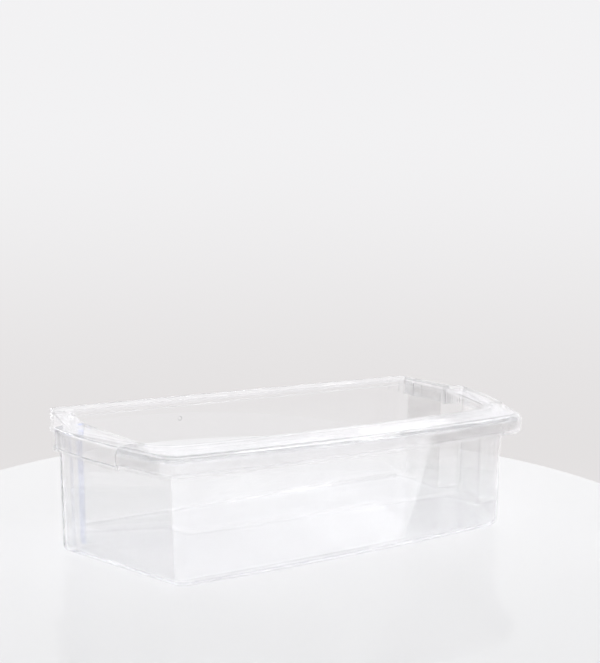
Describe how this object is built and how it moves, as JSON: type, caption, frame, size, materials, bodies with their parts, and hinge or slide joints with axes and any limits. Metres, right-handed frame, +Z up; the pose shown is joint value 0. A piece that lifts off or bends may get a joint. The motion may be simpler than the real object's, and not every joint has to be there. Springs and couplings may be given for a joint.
{
  "type": "fridge bin",
  "caption": "Clear refrigerator door bin: stepped tub with a narrower rear section, a flat flanged rim frame with a hanging skirt, and a bowed front trim band.",
  "frame": {"origin": "centre of the bounding box at the level of the tub's underside", "axes": "+X along the bin, +Y to the rear (the side that meets the door liner), +Z up"},
  "size_m": [0.3754, 0.2014, 0.0924],
  "materials": {
    "tub_plastic": "clear, polished",
    "frame_plastic": "clear, polished",
    "band_plastic": "clear, polished"
  },
  "bodies": {
    "root": {"tub": "tub_plastic", "rim_frame": "frame_plastic", "front_band": "band_plastic"}
  },
  "joints": []
}
